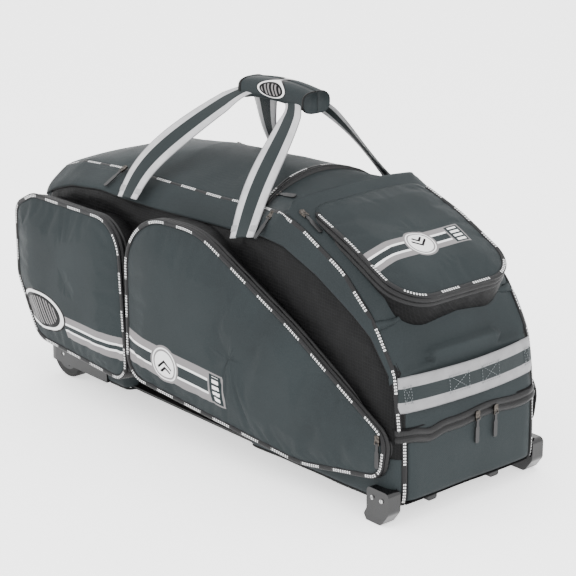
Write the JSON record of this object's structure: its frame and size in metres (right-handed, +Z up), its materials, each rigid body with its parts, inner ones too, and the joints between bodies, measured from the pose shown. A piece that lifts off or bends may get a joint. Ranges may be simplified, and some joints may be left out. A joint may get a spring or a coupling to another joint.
{
  "type": "rolling equipment bag",
  "caption": "Wheeled duffel for sports gear with arched lid, side pockets, sloped front pocket, shoe compartment, carry loops, wheels and feet.",
  "frame": {"origin": "on the ground under the middle of the bag's length and width", "axes": "+X towards the tow strap and feet, -X towards the wheels, -Y the right side, +Z up"},
  "size_m": [0.9194, 0.4326, 0.5875],
  "materials": {
    "coated_grey": "coated twill, satin",
    "ripstop_black": "ripstop, matt",
    "webbing": "woven webbing, grey with silver edges",
    "zipper_black": "coil zipper",
    "slider_metal": "gunmetal",
    "pull_rubber": "moulded over a metal tab",
    "moulded_black": "textured",
    "tyre": "polyurethane, matt",
    "hub_plastic": "moulded",
    "steel": "zinc plated",
    "board": "stiffener board"
  },
  "bodies": {
    "bag_body": {"base_screws": "steel", "bottom_rails": "moulded_black", "floor_board": "board", "floor_panel": "coated_grey", "front_end_panel": "coated_grey", "front_feet": "moulded_black", "front_slope_panel": "coated_grey", "left_front_gusset": "ripstop_black", "left_rear_gusset": "ripstop_black", "left_shoulder_panel": "coated_grey", "left_side_panel": "coated_grey", "left_wheel_housing": "moulded_black", "rear_end_panel": "coated_grey", "right_front_gusset": "ripstop_black", "right_rear_gusset": "ripstop_black", "right_shoulder_panel": "coated_grey", "right_side_panel": "coated_grey", "right_wheel_housing": "moulded_black", "shoe_divider": "coated_grey", "top_pocket_gusset": "ripstop_black", "tow_strap": "webbing", "wheel_axles": "steel", "zipper_chains": "zipper_black"},
    "lid": {"lid_panel": "coated_grey"},
    "top_pocket_flap": {"top_pocket_cover": "coated_grey"},
    "shoe_door": {"shoe_flap": "coated_grey"},
    "right_handle": {"right_carry_webbing": "webbing", "right_grip_wrap": "coated_grey"},
    "left_handle": {"left_carry_webbing": "webbing", "left_grip_wrap": "coated_grey"},
    "right_wheel": {"right_tyre": "tyre", "right_hub": "hub_plastic", "right_wheel_bearings": "steel"},
    "left_wheel": {"left_tyre": "tyre", "left_hub": "hub_plastic", "left_wheel_bearings": "steel"},
    "right_front_pocket": {"right_front_cover": "coated_grey"},
    "left_front_pocket": {"left_front_cover": "coated_grey"},
    "right_rear_pocket": {"right_rear_cover": "coated_grey"},
    "left_rear_pocket": {"left_rear_cover": "coated_grey"},
    "cross_zip_pull": {"cross_zip_pull": "pull_rubber"},
    "cross_zip_slider": {"cross_zip_slider": "slider_metal"},
    "left_front_lid_pull": {"left_front_lid_pull": "pull_rubber"},
    "left_front_lid_slider": {"left_front_lid_slider": "slider_metal"},
    "left_pocket_pull": {"left_pocket_pull": "pull_rubber"},
    "left_pocket_slider": {"left_pocket_slider": "slider_metal"},
    "left_rear_lid_pull": {"left_rear_lid_pull": "pull_rubber"},
    "left_rear_lid_slider": {"left_rear_lid_slider": "slider_metal"},
    "right_front_lid_pull": {"right_front_lid_pull": "pull_rubber"},
    "right_front_lid_slider": {"right_front_lid_slider": "slider_metal"},
    "right_pocket_pull": {"right_pocket_pull": "pull_rubber"},
    "right_pocket_slider": {"right_pocket_slider": "slider_metal"},
    "right_rear_lid_pull": {"right_rear_lid_pull": "pull_rubber"},
    "right_rear_lid_slider": {"right_rear_lid_slider": "slider_metal"},
    "shoe_far_pull": {"shoe_far_pull": "pull_rubber"},
    "shoe_far_slider": {"shoe_far_slider": "slider_metal"},
    "shoe_near_pull": {"shoe_near_pull": "pull_rubber"},
    "shoe_near_slider": {"shoe_near_slider": "slider_metal"},
    "top_pocket_pull": {"top_pocket_pull": "pull_rubber"},
    "top_pocket_slider": {"top_pocket_slider": "slider_metal"}
  },
  "joints": [
    {"name": "lid_hinge", "type": "hinge", "parent": "bag_body", "child": "lid", "pos_m": [-0.43768, 0, 0.37965], "axis": [0, -1, 0], "range_deg": [0, 90]},
    {"name": "right_handle_swing", "type": "hinge", "parent": "bag_body", "child": "right_handle", "pos_m": [-0.00968, -0.174, 0.384], "axis": [1, 0, 0], "range_deg": [0, 153.5]},
    {"name": "left_handle_swing", "type": "hinge", "parent": "bag_body", "child": "left_handle", "pos_m": [-0.00968, 0.174, 0.384], "axis": [-1, 0, 0], "range_deg": [0, 153.5]},
    {"name": "top_pocket_hinge", "type": "hinge", "parent": "bag_body", "child": "top_pocket_flap", "pos_m": [0.2086, 0, 0.44105], "axis": [0, -1, 0], "range_deg": [0, 110]},
    {"name": "shoe_flap_hinge", "type": "hinge", "parent": "bag_body", "child": "shoe_door", "pos_m": [0.45332, 0, 0.034], "axis": [0, 1, 0], "range_deg": [0, 95]},
    {"name": "right_front_pocket_hinge", "type": "hinge", "parent": "bag_body", "child": "right_front_pocket", "pos_m": [-0.01025, -0.19873, 0.0514], "axis": [0.996, 0.0896, 0], "range_deg": [0, 95]},
    {"name": "left_front_pocket_hinge", "type": "hinge", "parent": "bag_body", "child": "left_front_pocket", "pos_m": [-0.01025, 0.19873, 0.0514], "axis": [-0.996, 0.0896, 0], "range_deg": [0, 95]},
    {"name": "right_rear_pocket_hinge", "type": "hinge", "parent": "bag_body", "child": "right_rear_pocket", "pos_m": [-0.00968, -0.2087, 0.07558], "axis": [1, 0, 0], "range_deg": [0, 95]},
    {"name": "left_rear_pocket_hinge", "type": "hinge", "parent": "bag_body", "child": "left_rear_pocket", "pos_m": [-0.00968, 0.2087, 0.07558], "axis": [-1, 0, 0], "range_deg": [0, 95]},
    {"name": "right_wheel_spin", "type": "hinge", "parent": "bag_body", "child": "right_wheel", "pos_m": [-0.39368, -0.1505, 0.045], "axis": [0, 1, 0], "continuous": true},
    {"name": "left_wheel_spin", "type": "hinge", "parent": "bag_body", "child": "left_wheel", "pos_m": [-0.39368, 0.1505, 0.045], "axis": [0, 1, 0], "continuous": true},
    {"name": "cross_zip_travel", "type": "hinge", "parent": "bag_body", "child": "cross_zip_slider", "pos_m": [0.10432, 0, 0.25], "axis": [1, 0, 0], "range_deg": [-56, 1]},
    {"name": "right_rear_lid_zip_travel", "type": "slide", "parent": "bag_body", "child": "right_rear_lid_slider", "axis": [1, 0, 0], "range_m": [-0.08, 0.03]},
    {"name": "right_front_lid_zip_travel", "type": "slide", "parent": "bag_body", "child": "right_front_lid_slider", "axis": [0.9472, -0.2603, 0.1873], "range_m": [0, 0.03]},
    {"name": "top_pocket_zip_travel", "type": "slide", "parent": "bag_body", "child": "top_pocket_slider", "axis": [0.8834, 0, -0.4686], "range_m": [0, 0.19]},
    {"name": "shoe_near_zip_travel", "type": "slide", "parent": "shoe_door", "child": "shoe_near_slider", "axis": [0, 1, 0], "range_m": [-0.12, 0.02]},
    {"name": "shoe_far_zip_travel", "type": "slide", "parent": "shoe_door", "child": "shoe_far_slider", "axis": [0, 1, 0], "range_m": [-0.02, 0.07]},
    {"name": "right_pocket_zip_travel", "type": "slide", "parent": "right_front_pocket", "child": "right_pocket_slider", "axis": [-0.8367, -0.0753, 0.5425], "range_m": [0, 0.19]},
    {"name": "left_rear_lid_zip_travel", "type": "slide", "parent": "bag_body", "child": "left_rear_lid_slider", "axis": [1, 0, 0], "range_m": [-0.08, 0.03]},
    {"name": "left_front_lid_zip_travel", "type": "slide", "parent": "bag_body", "child": "left_front_lid_slider", "axis": [0.9472, 0.2603, 0.1873], "range_m": [0, 0.03]},
    {"name": "left_pocket_zip_travel", "type": "slide", "parent": "left_front_pocket", "child": "left_pocket_slider", "axis": [-0.8367, 0.0753, 0.5425], "range_m": [0, 0.19]},
    {"name": "cross_zip_pull_swing", "type": "hinge", "parent": "cross_zip_slider", "child": "cross_zip_pull", "pos_m": [0.11138, -0.09539, 0.43571], "axis": [0.051, -0.8844, -0.4639], "range_deg": [0, 50]},
    {"name": "right_rear_lid_pull_swing", "type": "hinge", "parent": "right_rear_lid_slider", "child": "right_rear_lid_pull", "pos_m": [-0.25468, -0.13571, 0.40454], "axis": [-1, 0, 0], "range_deg": [0, 110]},
    {"name": "left_rear_lid_pull_swing", "type": "hinge", "parent": "left_rear_lid_slider", "child": "left_rear_lid_pull", "pos_m": [-0.25468, 0.13571, 0.40454], "axis": [1, 0, 0], "range_deg": [0, 110]},
    {"name": "right_front_lid_pull_swing", "type": "hinge", "parent": "right_front_lid_slider", "child": "right_front_lid_pull", "pos_m": [0.14732, -0.14887, 0.41382], "axis": [-1, 0, 0], "range_deg": [0, 110]},
    {"name": "left_front_lid_pull_swing", "type": "hinge", "parent": "left_front_lid_slider", "child": "left_front_lid_pull", "pos_m": [0.14732, 0.14887, 0.41382], "axis": [1, 0, 0], "range_deg": [0, 110]},
    {"name": "top_pocket_pull_swing", "type": "hinge", "parent": "top_pocket_slider", "child": "top_pocket_pull", "pos_m": [0.21407, -0.1295, 0.42919], "axis": [0, -1, 0], "range_deg": [0, 110]},
    {"name": "shoe_near_pull_swing", "type": "hinge", "parent": "shoe_near_slider", "child": "shoe_near_pull", "pos_m": [0.45632, 0.006, 0.1336], "axis": [0, -1, 0], "range_deg": [0, 110]},
    {"name": "shoe_far_pull_swing", "type": "hinge", "parent": "shoe_far_slider", "child": "shoe_far_pull", "pos_m": [0.45632, 0.046, 0.1336], "axis": [0, -1, 0], "range_deg": [0, 110]},
    {"name": "right_pocket_pull_swing", "type": "hinge", "parent": "right_pocket_slider", "child": "right_pocket_pull", "pos_m": [0.41886, -0.16954, 0.1286], "axis": [-0.996, -0.0896, 0], "range_deg": [0, 110]},
    {"name": "left_pocket_pull_swing", "type": "hinge", "parent": "left_pocket_slider", "child": "left_pocket_pull", "pos_m": [0.41886, 0.16954, 0.1286], "axis": [0.996, -0.0896, 0], "range_deg": [0, 110]}
  ],
  "couplings": [
    {"joint": "right_handle_swing", "follows": "lid_hinge", "ratio": 1.7},
    {"joint": "left_handle_swing", "follows": "lid_hinge", "ratio": 1.7}
  ]
}
